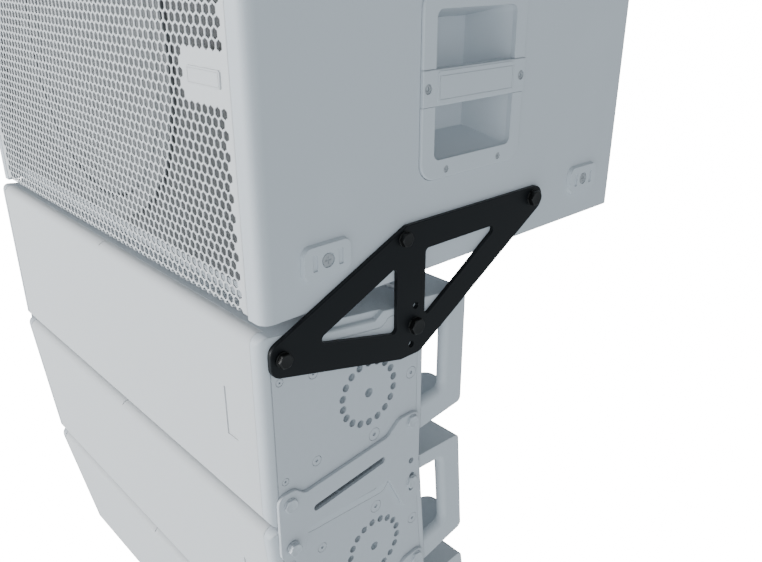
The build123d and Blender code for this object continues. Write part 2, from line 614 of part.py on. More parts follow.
with BuildPart() as rear_handles:
    for side in SIDES:
        with BuildSketch(side_plane(side * HALF)):
            with BuildLine():
                outline = FilletPolyline(
                    (BODY_REAR, half_height(BODY_REAR) + FLANGE_RAISED[0]),
                    (HANDLE_REAR, half_height(HANDLE_REAR) + FLANGE_RAISED[1]),
                    (HANDLE_REAR, -half_height(HANDLE_REAR)),
                    (BODY_REAR, -half_height(BODY_REAR)),
                    radius=7,
                )
                Line(outline @ 1, outline @ 0)
            make_face()
        extrude(amount=-side * REAR_FLANGE_X)
        with BuildSketch(side_plane(side * (HALF - POST_X))):
            with BuildLine():
                body_profile(REAR_FLANGE_THICK, BODY_REAR - 1, HANDLE_REAR + 1)
            make_face()
        extrude(amount=-side * REAR_FLANGE_X, mode=Mode.SUBTRACT)
        with BuildSketch(side_plane(side * HALF)):
            with BuildLine():
                window = FilletPolyline(
                    (BODY_REAR - 20, half_height(BODY_REAR - 20) - WINDOW_TOP),
                    (POST_Y, half_height(POST_Y) - WINDOW_TOP),
                    (POST_Y, WINDOW_BOTTOM - half_height(POST_Y)),
                    (BODY_REAR - 20, WINDOW_BOTTOM - half_height(BODY_REAR - 20)),
                    radius=WINDOW_ROUND,
                )
                Line(window @ 1, window @ 0)
            make_face()
        extrude(amount=-side * (POST_X + 1), mode=Mode.SUBTRACT)
        # round the inner corners of the flanges in plan
        corner = Plane(origin=(side * (HALF - REAR_FLANGE_X), HANDLE_REAR, -FRONT_HALF))
        with BuildSketch(corner):
            with BuildLine():
                tip = Line((-side, 1), (side * FLANGE_ROUND, 1))
                drop = Line(tip @ 1, (side * FLANGE_ROUND, 0))
                bend = RadiusArc(drop @ 1, (0, -FLANGE_ROUND), -side * FLANGE_ROUND)
                Polyline(bend @ 1, (-side, -FLANGE_ROUND), tip @ 0)
            make_face()
        extrude(amount=2 * FRONT_HALF, mode=Mode.SUBTRACT)
        # the window flares outwards to the outer face
        outer_face = rear_handles.faces().filter_by(Axis.X).sort_by(Axis.X)[-1 if side > 0 else 0]
        inside = (BODY_REAR + 1, POST_Y + 1)
        rim = [
            edge
            for edge in outer_face.edges()
            if inside[0] < edge.center().Y < inside[1] and abs(edge.center().Z) < FRONT_HALF / 2 + 5
        ]
        fillet(rim, radius=WINDOW_FLARE)

with BuildPart() as woofer_frames:
    for x in (-WOOFER_X, WOOFER_X):
        with BuildSketch(driver_plane(x, 0)):
            with BuildLine():
                Polyline(
                    (WOOFER_FLANGE, GRILLE_BACK),
                    (WOOFER_FLANGE, GRILLE_BACK - 4),
                    (WOOFER_HOLE - 2.2, GRILLE_BACK - 4),
                    (WOOFER_HOLE - 2.2, GRILLE_BACK + 16),
                    (40, GRILLE_BACK + 62),
                    (0, GRILLE_BACK + 62),
                    (0, GRILLE_BACK + 96),
                    (46, GRILLE_BACK + 96),
                    (46, GRILLE_BACK + 64),
                    (42, GRILLE_BACK + 64),
                    (WOOFER_HOLE, GRILLE_BACK + 17),
                    (WOOFER_HOLE, GRILLE_BACK),
                    close=True,
                )
            make_face()
        revolve(axis=Axis((x, 0, 0), (0, 1, 0)))

with BuildPart() as woofer_cones:
    for x in (-WOOFER_X, WOOFER_X):
        with BuildSketch(driver_plane(x, 0)):
            with BuildLine():
                outer = WOOFER_HOLE - 3
                rim = GRILLE_BACK + 1
                l1 = Line((0, rim + 22), (16, rim + 30))
                l2 = Line(l1 @ 1, (outer - 12, rim))
                l3 = ThreePointArc(l2 @ 1, (outer - 6, rim - 5), (outer, rim))
                l4 = Line(l3 @ 1, (outer, rim + 1.5))
                l5 = ThreePointArc(l4 @ 1, (outer - 6, rim - 3.5), (outer - 11.6, rim + 1.8))
                l6 = Line(l5 @ 1, (17, rim + 33))
                l7 = Line(l6 @ 1, (0, rim + 24))
                Line(l7 @ 1, l1 @ 0)
            make_face()
        revolve(axis=Axis((x, 0, 0), (0, 1, 0)))

with BuildPart() as horn:
    with BuildSketch(front_plane(GRILLE_BACK)):
        Rectangle(HORN_WIDTH, HORN_HEIGHT)
    with BuildSketch(front_plane(HORN_BACK)):
        Rectangle(HORN_THROAT, HORN_THROAT)
    loft()
    with BuildSketch(front_plane(GRILLE_BACK)):
        Rectangle(HORN_WIDTH + 10, HORN_HEIGHT + 10)
    extrude(amount=2)
    with BuildSketch(front_plane(GRILLE_BACK - 3)):
        Rectangle(HORN_WIDTH - 6, HORN_HEIGHT - 6)
    with BuildSketch(front_plane(HORN_BACK + 1)):
        Rectangle(HORN_THROAT - 8, HORN_THROAT - 8)
    loft(mode=Mode.SUBTRACT)

with BuildPart() as horn_driver:
    with BuildSketch(front_plane(HORN_BACK)):
        Circle(47)
    extrude(amount=-44)
    chamfer(horn_driver.faces().sort_by(Axis.Y)[-1].edges(), length=5)

with BuildPart() as rear_panel:
    with BuildSketch(front_plane(BODY_REAR)):
        RectangleRounded(PANEL_WIDTH, PANEL_HEIGHT, 5)
    extrude(amount=PLATE)
    with BuildSketch(front_plane(BODY_REAR)):
        with Locations((-40, 0), (40, 0)):
            RectangleRounded(34, 38, 4)
    extrude(amount=-2.5)
    with BuildSketch(front_plane(BODY_REAR + 2.5)):
        with Locations((-40, 0), (40, 0)):
            Circle(13)
    extrude(amount=12, mode=Mode.SUBTRACT)

# ==================================================================== rigging
bracket_outline = [
    (-13.4, 13.0), (162.0, 94.0), (391.0, 94.0), (391.0, 69.0), (185.4, -59.5), (155.4, -59.5),
    (-13.4, -17.4),
]
bracket_rounds = [13, 8, 14, 12, 18, 10, 13]
bracket_windows = (
    [(37.3, 2.0), (149.0, 52.9), (149.0, -25.6)],
    [(190.4, 62.2), (313.4, 62.2), (190.4, -20.2)],
)
brackets = {}
for name, side in (("right", 1), ("left", -1)):
    with BuildPart() as bracket:
        with BuildSketch(bracket_plane(side * (HALF + GAP))):
            with BuildLine():
                FilletPolyline(*bracket_outline, radius=bracket_rounds, close=True)
            make_face()
            for window_points in bracket_windows:
                with BuildLine(mode=Mode.PRIVATE) as rim_line:
                    FilletPolyline(*window_points, radius=5, close=True)
                make_face(rim_line.edges(), mode=Mode.SUBTRACT)
            Circle(M10 + RUN, mode=Mode.SUBTRACT)
            with Locations(*SUB_BOLTS, on_arc(-BOLT_ANGLE)):
                Circle(M10 + SCREW_PLAY, mode=Mode.SUBTRACT)
            with Locations(on_arc(TILT_STEP - BOLT_ANGLE), on_arc(-TILT_STEP - BOLT_ANGLE)):
                Circle(SPARE_HOLE, mode=Mode.SUBTRACT)
        extrude(amount=side * BRACKET_THICK)
        flat_faces = bracket.faces().filter_by(Axis.X).sort_by(Axis.X)
        chamfer(flat_faces[-1 if side > 0 else 0].outer_wire().edges(), length=0.6)
    brackets[name] = bracket


def hex_bolt(plane, spots, side, head, plate, reach, shank=M10):
    """Hexagon head bolts through a plate, their heads on its outer face."""
    flats, height = head
    with BuildSketch(plane.offset(side * plate)) as shank_face:
        with Locations(*spots):
            Circle(shank)
    extrude(shank_face.sketch, amount=-side * (plate + reach))
    with BuildSketch(plane.offset(side * plate)) as washer_face:
        with Locations(*spots):
            Circle(flats / 2 + WASHER)
    extrude(washer_face.sketch, amount=side * WASHER)
    with BuildSketch(plane.offset(side * (plate + WASHER))) as head_face:
        with Locations(*spots):
            RegularPolygon(radius=flats / 2, side_count=6, major_radius=False)
    extrude(head_face.sketch, amount=side * height)


with BuildPart() as bracket_bolts:
    for side in SIDES:
        inner = bracket_plane(side * (HALF + GAP))
        hex_bolt(inner, [SUB_BOLTS[0]], side, HEAD_M10, BRACKET_THICK, INSERT_LENGTH)
        hex_bolt(inner, [SUB_BOLTS[1]], side, HEAD_M12, BRACKET_THICK, INSERT_LENGTH)
        hex_bolt(inner, [on_arc(-BOLT_ANGLE)], side, HEAD_M12, BRACKET_THICK, 0)

pivot_heights = {1: BRACKET_THICK, 2: LINK_THICK, 3: LINK_THICK}
pivot_bolts = {}
for number, thick in pivot_heights.items():
    with BuildPart() as pivots:
        for side in SIDES:
            inner = side_plane(side * (HALF + GAP))
            hex_bolt(inner, [(0, PIVOT_Z)], side, HEAD_M10, thick + GAP, BOLT_DEPTH)
    pivot_bolts[number] = pivots

# link plate in the frame of the module above: its lower bolts hold it, the next one hangs from it
next_pivot = PIVOT_Z - PITCH
link_outline = [
    (-14.5, -70.4), (7.5, -70.4), (19.5, -81.0), (138.0, -67.5), (156.5, -51.6), (188.3, -51.6),
    (188.3, -180.5), (164.0, -180.5), (139.2, -128.5), (22.0, -128.5), (16.0, -156.5), (-14.5, -156.5),
]
link_rounds = [12, 9, 9, 14, 12, 12, 12, 12, 3, 10, 8, 12]
links = {}
for name, side in (("right", 1), ("left", -1)):
    with BuildPart() as link:
        with BuildSketch(side_plane(side * (HALF + GAP))):
            with BuildLine():
                FilletPolyline(*link_outline, radius=link_rounds, close=True)
            make_face()
            with Locations(LINK_SLOT):
                SlotOverall(LINK_SLOT_LONG, LINK_SLOT_WIDE, rotation=TAPER_ANGLE, mode=Mode.SUBTRACT)
            with Locations((0, -PIVOT_Z), (REAR_Y, -REAR_Z)):
                Circle(M10 + SCREW_PLAY, mode=Mode.SUBTRACT)
            with Locations((0, next_pivot)):
                Circle(M10 + RUN, mode=Mode.SUBTRACT)
            for splay in SPLAY_HOLES:
                y, z = on_arc(splay - BOLT_ANGLE)
                with Locations((y, next_pivot + z)):
                    Circle(SPARE_HOLE, mode=Mode.SUBTRACT)
        extrude(amount=side * LINK_THICK)
        flat_faces = link.faces().filter_by(Axis.X).sort_by(Axis.X)
        chamfer(flat_faces[-1 if side > 0 else 0].outer_wire().edges(), length=0.5)
    links[name] = link

with BuildPart() as link_bolts:
    for side in SIDES:
        inner = side_plane(side * (HALF + GAP))
        hex_bolt(inner, [(0, -PIVOT_Z), (REAR_Y, -REAR_Z)], side, HEAD_LINK, LINK_THICK, BOLT_DEPTH)
        y, z = on_arc(SPLAY - BOLT_ANGLE)
        hex_bolt(inner, [(y, next_pivot + z)], side, HEAD_LINK, LINK_THICK, 0,
                 SPARE_HOLE - SCREW_PLAY)

# ==================================================================== writing
sub_pieces = {
    "sub_cabinet": sub_cabinet, "sub_baffle": sub_baffle,
    "sub_grille": sub_grille, "sub_badge_plate": sub_badge_plate,
    "sub_woofer_frame": sub_woofer_frame,
    "sub_woofer_cone": sub_woofer_cone, "sub_pads": sub_pads, "sub_screws": sub_screws,
    "sub_inserts": sub_inserts, "sub_amp_tray": sub_amp_tray, "sub_heat_sink": sub_heat_sink,
    "sub_connectors": sub_connectors, "sub_gain_knob": sub_gain_knob,
    "sub_handles": sub_handles, "sub_handle_bars": sub_handle_bars,
    "bracket_bolts": bracket_bolts,
}
for name, piece in sub_pieces.items():
    keep(piece.part, name)
for hand in ("right", "left"):
    keep(brackets[hand].part, f"bracket_{hand}")

module_pieces = {
    "cabinet": cabinet, "grille": grille, "plate_screws": plate_screws,
    "rear_handles": rear_handles, "woofer_frames": woofer_frames, "woofer_cones": woofer_cones,
    "horn": horn, "horn_driver": horn_driver, "rear_panel": rear_panel,
    "side_plate_right": side_plates["right"], "side_plate_left": side_plates["left"],
}
pivot_y, pivot_z = PIVOT
for number in (1, 2, 3):
    tilt = radians(SPLAY * (number - 1))
    down_y, down_z = sin(tilt), -cos(tilt)
    place = Location(
        (0, pivot_y + PIVOT_Z * down_y, pivot_z + PIVOT_Z * down_z), (SPLAY * (number - 1), 0, 0)
    )
    for name, piece in module_pieces.items():
        keep(piece.part.moved(place), f"{name}_{number}")
    keep(pivot_bolts[number].part.moved(place), f"pivot_bolts_{number}")
    if number < 3:
        keep(link_bolts.part.moved(place), f"link_bolts_{number}")
        for hand in ("right", "left"):
            keep(links[hand].part.moved(place), f"link_{hand}_{number}")
    print(f"module {number}: pivot y {pivot_y:.3f} z {pivot_z:.3f}, tilt {SPLAY * (number - 1):.1f}")
    pivot_y += PITCH * down_y
    pivot_z += PITCH * down_z
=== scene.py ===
import json
from math import atan2, cos, pi, radians, sin, sqrt, tan

import bmesh
import bpy
from bpy.props import FloatProperty, FloatVectorProperty, IntProperty, PointerProperty
from mathutils import Matrix, Vector


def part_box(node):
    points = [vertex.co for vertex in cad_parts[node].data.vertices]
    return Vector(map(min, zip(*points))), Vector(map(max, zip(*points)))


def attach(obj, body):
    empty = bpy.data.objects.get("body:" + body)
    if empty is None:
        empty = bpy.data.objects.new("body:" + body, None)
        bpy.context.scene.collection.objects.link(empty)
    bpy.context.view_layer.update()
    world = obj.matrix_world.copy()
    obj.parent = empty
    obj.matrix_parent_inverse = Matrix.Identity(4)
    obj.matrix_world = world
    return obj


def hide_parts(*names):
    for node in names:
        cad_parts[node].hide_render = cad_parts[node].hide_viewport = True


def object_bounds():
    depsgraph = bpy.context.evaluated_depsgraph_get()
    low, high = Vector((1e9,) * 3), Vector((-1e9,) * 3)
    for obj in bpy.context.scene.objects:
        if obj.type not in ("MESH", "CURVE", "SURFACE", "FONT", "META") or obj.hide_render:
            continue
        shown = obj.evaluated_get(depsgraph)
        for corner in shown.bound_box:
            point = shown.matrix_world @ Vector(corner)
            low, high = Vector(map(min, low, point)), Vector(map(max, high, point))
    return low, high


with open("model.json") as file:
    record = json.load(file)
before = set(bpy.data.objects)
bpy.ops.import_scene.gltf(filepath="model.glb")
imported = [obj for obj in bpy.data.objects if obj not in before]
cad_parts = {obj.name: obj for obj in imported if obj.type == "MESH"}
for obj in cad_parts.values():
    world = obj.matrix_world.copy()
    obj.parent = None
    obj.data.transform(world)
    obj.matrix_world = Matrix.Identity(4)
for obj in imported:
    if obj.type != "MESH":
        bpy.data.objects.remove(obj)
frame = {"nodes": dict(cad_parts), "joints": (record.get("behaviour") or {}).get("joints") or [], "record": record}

CAD_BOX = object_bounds()

bl_info = {
    "name": "Flown loudspeaker column",
    "version": (1, 0, 0),
    "blender": (4, 5, 0),
    "location": "View3D > Sidebar > Column",
    "description": "Finishes a subwoofer and its hanging modules around their CAD frame",
    "category": "Object",
}

MM = 0.001
NEAR = 1e-6  # lengths closer than this are the same
SIDES = (1, -1)
MODULES = (1, 2, 3)
COAT_EDGE = 0.7 * MM  # radius that a sprayed coat gives to an edge
MILLED_EDGE = 2.5 * MM  # the same on the modules' milled edges
PLY_EDGE = 1.2 * MM  # and on the subwoofer's plywood


# ------------------------------------------------------------------ shader maths
class Wire:
    """A node's output. Arithmetic on it adds Math nodes to its tree."""

    def __init__(self, socket):
        self.socket = socket

    def maths(self, operation, first, second, clamp=False):
        tree = self.socket.id_data
        made = tree.nodes.new("ShaderNodeMath")
        made.operation = operation
        made.use_clamp = clamp
        for slot, value in zip(made.inputs, (first, second)):
            if isinstance(value, Wire):
                tree.links.new(value.socket, slot)
            else:
                slot.default_value = value
        return Wire(made.outputs[0])

    def __add__(self, other):
        return self.maths("ADD", self, other)

    def __radd__(self, other):
        return self.maths("ADD", other, self)

    def __sub__(self, other):
        return self.maths("SUBTRACT", self, other)

    def __rsub__(self, other):
        return self.maths("SUBTRACT", other, self)

    def __mul__(self, other):
        return self.maths("MULTIPLY", self, other)

    def __rmul__(self, other):
        return self.maths("MULTIPLY", other, self)

    def clamped(self):
        return self.maths("ADD", self, 0.0, clamp=True)


class Finish:
    """One material while its nodes are being laid."""

    def __init__(self, name, metallic=0.0):
        self.material = bpy.data.materials.new(name)
        self.material.use_nodes = True
        self.tree = self.material.node_tree
        self.tree.nodes.clear()
        self.shader = self.tree.nodes.new("ShaderNodeBsdfPrincipled")
        output = self.tree.nodes.new("ShaderNodeOutputMaterial")
        self.tree.links.new(self.shader.outputs[0], output.inputs["Surface"])
        self.set("Metallic", metallic)
        self.place = self.node("TexCoord", output="Object")

    def feed(self, slot, value):
        if isinstance(value, Wire):
            self.tree.links.new(value.socket, slot)
        else:
            slot.default_value = value

    def node(self, kind, settings=None, sockets=None, output=0):
        """Any node but a Math node: its settings first, then its sockets' values or links."""
        made = self.tree.nodes.new("ShaderNode" + kind)
        for key, value in (settings or {}).items():
            if key == "stops":
                for stop, (place, shade) in zip(made.color_ramp.elements, value):
                    stop.position = place
                    stop.color = (shade, shade, shade, 1)
            else:
                setattr(made, key, value)
        for key, value in (sockets or {}).items():
            self.feed(made.inputs[key], value)
        return Wire(made.outputs[output])

    def set(self, name, value):
        self.feed(self.shader.inputs[name], value)

    def noise(self, scale, detail=2.0, roughness=0.5, where=None):
        return self.node(
            "TexNoise",
            sockets={
                "Vector": where or self.place,
                "Scale": scale,
                "Detail": detail,
                "Roughness": roughness,
            },
        )

    def mix(self, share, first, second):
        """Two colours, from first at 0 to second at 1."""
        return self.node(
            "Mix", {"data_type": "RGBA"}, {0: share, 6: rgba(first), 7: rgba(second)}, output=2
        )

    def shade(self, colour, factor):
        """A colour made lighter or darker by a varying factor."""
        grey = self.node("CombineColor", sockets={"Red": factor, "Green": factor, "Blue": factor})
        return self.node(
            "Mix",
            {"data_type": "RGBA", "blend_type": "MULTIPLY"},
            {0: 1.0, 6: rgba(colour), 7: grey},
            output=2,
        )

    def bump(self, height, distance, edge=COAT_EDGE):
        """Relief of a height field, laid over edges that a real coat rounds off."""
        rounded = self.node("Bevel", {"samples": 6}, {"Radius": edge})
        normal = self.node(
            "Bump", sockets={"Height": height, "Distance": distance, "Normal": rounded}
        )
        self.set("Normal", normal)


def rgba(colour):
    return colour if isinstance(colour, Wire) else (*colour, 1.0)


# ------------------------------------------------------------------ finishes
def powder_coat(name, colour, roughness, grain=900.0, relief=0.06 * MM, edge=COAT_EDGE):
    """Baked powder: orange peel, faint clouds in the shade, slightly duller patches."""
    made = Finish(name)
    mottle = 0.05
    clouds = made.noise(7.0, detail=4.0)
    dust = made.noise(140.0, detail=3.0)
    shade = 1.0 - mottle * (clouds - 0.5) - mottle * (dust - 0.5)
    made.set("Base Color", made.shade(colour, shade))
    made.set("Roughness", roughness + 0.14 * (clouds - 0.5) + 0.08 * (dust - 0.5))
    peel = made.noise(grain, detail=2.0)
    fine = made.noise(grain * 3.1, detail=1.0)
    made.bump(0.75 * peel + 0.25 * fine, relief, edge)
    return made.material


def spatter_coat(name, colour):
    """Sprayed polyurethane over plywood: coarse droplets, matt, rubbed a little paler in places."""
    made = Finish(name)
    drops = made.node(
        "TexVoronoi",
        {"feature": "SMOOTH_F1"},
        {"Vector": made.place, "Scale": 520.0, "Smoothness": 0.6, "Randomness": 1.0},
    )
    swell = made.noise(190.0, detail=3.0)
    clouds = made.noise(4.0, detail=5.0)
    rubbed = made.node(
        "ValToRGB", {"stops": ((0.52, 0.0), (0.72, 1.0))}, {"Fac": made.noise(11.0, detail=6.0)}
    )
    made.set("Base Color", made.shade(colour, 0.98 + 0.04 * (clouds - 0.5) + 0.02 * rubbed))
    made.set("Roughness", 0.62 + 0.1 * (swell - 0.5) - 0.05 * rubbed)
    made.bump(0.6 * drops + 0.7 * swell, 0.11 * MM, PLY_EDGE)
    return made.material


def black_coat(name, colour):
    """Black powder on laser-cut steel: satin, with fine dust and faint handling marks."""
    made = Finish(name)
    made.set("Specular IOR Level", 0.2)
    clouds = made.noise(9.0, detail=5.0)
    smears = made.noise(34.0, detail=6.0, roughness=0.7)
    made.set("Base Color", made.shade(colour, 0.85 + 0.35 * clouds))
    made.set("Roughness", 0.42 + 0.16 * (clouds - 0.5) + 0.12 * (smears - 0.5))
    made.bump(made.noise(1100.0), 0.05 * MM)
    return made.material


def bolt_finish(name, colour, roughness, metallic):
    """Plated or painted bolts: faint turning marks and worn corners."""
    made = Finish(name, metallic=metallic)
    worn_colour = [c * 1.9 for c in colour]
    wear = made.noise(260.0, detail=5.0)
    made.set("Base Color", made.mix((wear - 0.45).clamped() * 0.6, colour, worn_colour))
    made.set("Roughness", roughness + 0.25 * (wear - 0.5))
    made.bump(made.noise(1500.0), 0.02 * MM)
    return made.material


def acoustic_cloth(name, colour):
    """Close knit cloth stretched over the front sheet: a fine grid of threads."""
    made = Finish(name)
    made.set("Sheen Weight", 0.15)
    made.set("Sheen Roughness", 0.6)
    across = made.node("TexWave", {"bands_direction": "X"}, {"Vector": made.place, "Scale": 260.0})
    up = made.node("TexWave", {"bands_direction": "Z"}, {"Vector": made.place, "Scale": 260.0})
    slub = made.noise(60.0, detail=4.0)
    thread = 0.5 * across + 0.5 * up
    made.set("Base Color", made.shade(colour, 0.965 + 0.03 * thread + 0.03 * (slub - 0.5)))
    made.set("Roughness", 0.84 + 0.1 * (slub - 0.5))
    made.bump(thread + 0.3 * slub, 0.05 * MM)
    return made.material


def moulded(name, colour, roughness, relief=0.05 * MM):
    """Injection moulded plastic with a spark-eroded grain."""
    made = Finish(name)
    grain = made.noise(1300.0, detail=2.0)
    flow = made.noise(16.0, detail=3.0)
    made.set("Base Color", made.shade(colour, 0.97 + 0.06 * flow))
    made.set("Roughness", roughness + 0.12 * (flow - 0.5) + 0.06 * (grain - 0.5))
    made.bump(grain, relief)
    return made.material


def metal(name, colour, roughness, streak=1.0):
    """Bare or plated metal, brushed along X where the streak is long."""
    made = Finish(name, metallic=0.9)
    stretch = made.node("Mapping", sockets={"Vector": made.place, "Scale": (1.0, streak, streak)})
    streaks = made.noise(70.0, detail=5.0, where=stretch)
    made.set("Base Color", made.shade(colour, 0.9 + 0.2 * streaks))
    made.set("Roughness", roughness + 0.2 * (streaks - 0.5))
    made.bump(streaks, 0.03 * MM)
    return made.material


def cone_pulp(name, colour):
    """Pressed paper pulp with fibres."""
    made = Finish(name)
    fibre = made.noise(420.0, detail=6.0, roughness=0.75)
    made.set("Base Color", made.shade(colour, 0.85 + 0.3 * fibre))
    made.set("Roughness", 0.7 + 0.15 * (fibre - 0.5))
    made.bump(fibre, 0.1 * MM)
    return made.material


# ------------------------------------------------------------------ settings
def colour_setting(name, description, value):
    return FloatVectorProperty(
        name=name, description=description, default=value, subtype="COLOR", min=0, max=1
    )


def length_setting(name, description, value):
    return FloatProperty(
        name=name, description=description, default=value, unit="LENGTH", subtype="DISTANCE"
    )


class ColumnColours(bpy.types.PropertyGroup):
    cabinet: colour_setting("Cabinet", "Coat of the cabinets", (0.60, 0.635, 0.67))
    front: colour_setting("Fronts", "Cloth and grilles", (0.66, 0.67, 0.68))
    plate: colour_setting("Plates", "Side plates and link plates", (0.58, 0.61, 0.645))
    bracket: colour_setting("Brackets", "Black brackets", (0.007, 0.008, 0.0095))
    # Dark board colour, made darker still to paint in the shade seen through the grille's holes
    baffle: colour_setting("Baffle", "Stained board behind the grille", (0.095, 0.097, 0.099))
    black: colour_setting("Black plastic", "Connectors, knob and horns", (0.02, 0.02, 0.022))


class ColumnSizes(bpy.types.PropertyGroup):
    hole_pitch: length_setting("Hole pitch", "From hole to hole along a row", 10.73 * MM)
    hole_flats: length_setting("Hole size", "Across the flats of a hole", 8.8 * MM)
    sheet: length_setting("Sheet", "Thickness of the perforated sheet", 1.5 * MM)
    fold: length_setting("Fold", "Radius of the grille's folded edges", 2.5 * MM)
    wrap: length_setting("Wrap", "Radius of a module front's upper and lower edges", 10.5 * MM)
    head_chamfer: FloatProperty(
        name="Head chamfer", description="Slope of a bolt head's chamfer", default=radians(30),
        subtype="ANGLE",
    )
    round_steps: IntProperty(
        name="Round steps", description="Segments of a quarter round", default=6
    )


# ------------------------------------------------------------------ mesh helpers
def finish_piece(name, body, slot, material, bm, replaced=(), smooth=radians(32)):
    """Turn a bmesh into a piece of the column that rides on a body."""
    bmesh.ops.recalc_face_normals(bm, faces=bm.faces)
    mesh = bpy.data.meshes.new(name)
    bm.to_mesh(mesh)
    bm.free()
    piece = bpy.data.objects.new(name, mesh)
    bpy.context.scene.collection.objects.link(piece)
    mesh.materials.append(material)
    mesh.shade_smooth()
    mesh.set_sharp_from_angle(angle=smooth)
    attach(piece, body)
    if replaced:
        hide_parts(*replaced)
    return piece


def islands(node):
    """Boxes of a CAD node's separate solids, each as its lowest and highest corner."""
    bm = bmesh.new()
    bm.from_mesh(frame["nodes"][node].data)
    bmesh.ops.remove_doubles(bm, verts=bm.verts, dist=NEAR)
    left = set(bm.verts)
    boxes = []
    while left:
        group = [left.pop()]
        for vert in group:
            for edge in vert.link_edges:
                other = edge.other_vert(vert)
                if other in left:
                    left.discard(other)
                    group.append(other)
        corners = [[pick(v.co[axis] for v in group) for axis in range(3)] for pick in (min, max)]
        boxes.append((Vector(corners[0]), Vector(corners[1])))
    bm.free()
    return sorted(boxes, key=lambda pair: tuple(pair[0]))


def joint(name):
    return next(j for j in frame["joints"] if j["name"] == name)


def module_place(number):
    """From a module's own frame, y = 0 on its pivots and z = 0 at mid height, to the row frame."""
    hinge = joint("module_1_tilt" if number == 1 else f"module_{number}_splay")
    along = Vector(joint(f"module_{number}_cone_travel")["axis"])
    turn = Matrix.Rotation(atan2(along.z, along.y), 4, "X")
    return Matrix.Translation(Vector(hinge["pos_m"])) @ turn @ Matrix.Translation((0, 0, -PIVOT_Z))


def rounded_rectangle(low, high, corner, inset, steps):
    """Points round a rectangle in the XZ plane, drawn in from its edge by an inset."""
    points = []
    radius = max(corner - inset, 0.2 * corner)
    for side, up, start in ((1, 1, 0.0), (-1, 1, pi / 2), (-1, -1, pi), (1, -1, 3 * pi / 2)):
        x = (high.x if side > 0 else low.x) - side * (inset + radius)
        z = (high.z if up > 0 else low.z) - up * (inset + radius)
        for i in range(steps + 1):
            angle = start + pi / 2 * i / steps
            points.append((x + radius * cos(angle), z + radius * sin(angle)))
    return points


# ------------------------------------------------------------------ sizes read from the frame
SUB_LOW, SUB_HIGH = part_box("sub_cabinet")
SUB_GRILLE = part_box("sub_grille")
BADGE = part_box("sub_badge_plate")
FRONT_LOW, FRONT_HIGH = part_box("grille_1")
PIVOT = Vector(joint("module_1_tilt")["pos_m"])
PIVOT_Z = PIVOT.z - (FRONT_LOW.z + FRONT_HIGH.z) / 2
TAPER = radians(7.5)  # of a module's upper and lower faces towards the rear


def column_settings(context):
    return context.scene.column_colours, context.scene.column_sizes


